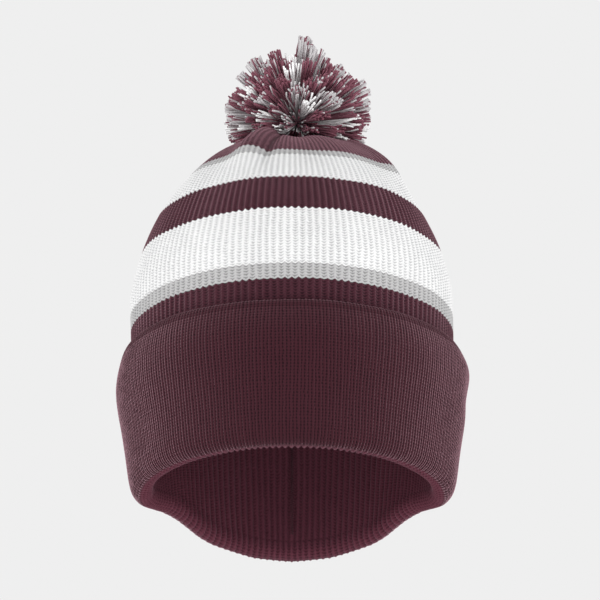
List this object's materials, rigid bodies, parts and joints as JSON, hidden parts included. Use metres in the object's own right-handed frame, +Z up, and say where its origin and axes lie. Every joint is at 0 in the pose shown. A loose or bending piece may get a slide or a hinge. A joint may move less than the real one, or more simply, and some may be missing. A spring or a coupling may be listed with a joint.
{
  "type": "pom pom beanie",
  "caption": "Striped double-layer knit beanie with a turned-up cuff, a gathered crown and a swinging yarn pom pom.",
  "frame": {"origin": "on the hat's upright axis, in the plane of the rim that it stands on", "axes": "+Z up, from the rim to the pom pom; -Y to the front; +X to the wearer's left"},
  "size_m": [0.1822, 0.1968, 0.2485],
  "materials": {
    "maroon_knit": "fine rib knit in maroon yarn",
    "grey_knit": "fine rib knit in light grey yarn",
    "white_knit": "fine rib knit in white yarn",
    "maroon_yarn": "cut maroon yarn",
    "grey_yarn": "cut light grey yarn",
    "white_yarn": "cut white yarn",
    "tie_cord": "twisted tie cord",
    "felt": "felt",
    "label": "blank satin label"
  },
  "bodies": {
    "hat": {"back_seam": "maroon_knit", "body_band_maroon": "maroon_knit", "care_label": "label", "crown_cap": "maroon_knit", "crown_seam_1": "maroon_knit", "crown_seam_2": "maroon_knit", "crown_seam_3": "maroon_knit", "crown_seam_4": "maroon_knit", "cuff_backing": "maroon_knit", "cuff_face": "maroon_knit", "cuff_hem": "maroon_knit", "lining": "maroon_knit", "rim_fold": "maroon_knit", "stripe_grey_lower": "grey_knit", "stripe_grey_upper": "grey_knit", "stripe_maroon": "maroon_knit", "stripe_white_lower": "white_knit", "stripe_white_upper": "white_knit", "tie_backing_disc": "felt", "tie_knot": "tie_cord", "tie_thread": "tie_cord"},
    "tie_swivel": {"tie_swivel": "tie_cord"},
    "tie_link": {"tie_link": "tie_cord"},
    "pom_pom": {"pom_binding": "tie_cord", "pom_tuft_grey_1": "grey_yarn", "pom_tuft_grey_2": "grey_yarn", "pom_tuft_grey_3": "grey_yarn", "pom_tuft_grey_4": "grey_yarn", "pom_tuft_grey_5": "grey_yarn", "pom_tuft_grey_6": "grey_yarn", "pom_tuft_maroon_1": "maroon_yarn", "pom_tuft_maroon_2": "maroon_yarn", "pom_tuft_maroon_3": "maroon_yarn", "pom_tuft_maroon_4": "maroon_yarn", "pom_tuft_maroon_5": "maroon_yarn", "pom_tuft_maroon_6": "maroon_yarn", "pom_tuft_maroon_7": "maroon_yarn", "pom_tuft_white_1": "white_yarn", "pom_tuft_white_2": "white_yarn", "pom_tuft_white_3": "white_yarn"}
  },
  "joints": [
    {"name": "pom_twist", "type": "hinge", "parent": "hat", "child": "tie_swivel", "pos_m": [0, 0, 0.19375], "axis": [0, 0, 1], "range_deg": [-90, 90]},
    {"name": "pom_nod", "type": "hinge", "parent": "tie_swivel", "child": "tie_link", "pos_m": [0, 0, 0.1963], "axis": [1, 0, 0], "range_deg": [-13, 13]},
    {"name": "pom_sway", "type": "hinge", "parent": "tie_link", "child": "pom_pom", "pos_m": [0, 0, 0.1994], "axis": [0, 1, 0], "range_deg": [-13, 13]}
  ]
}
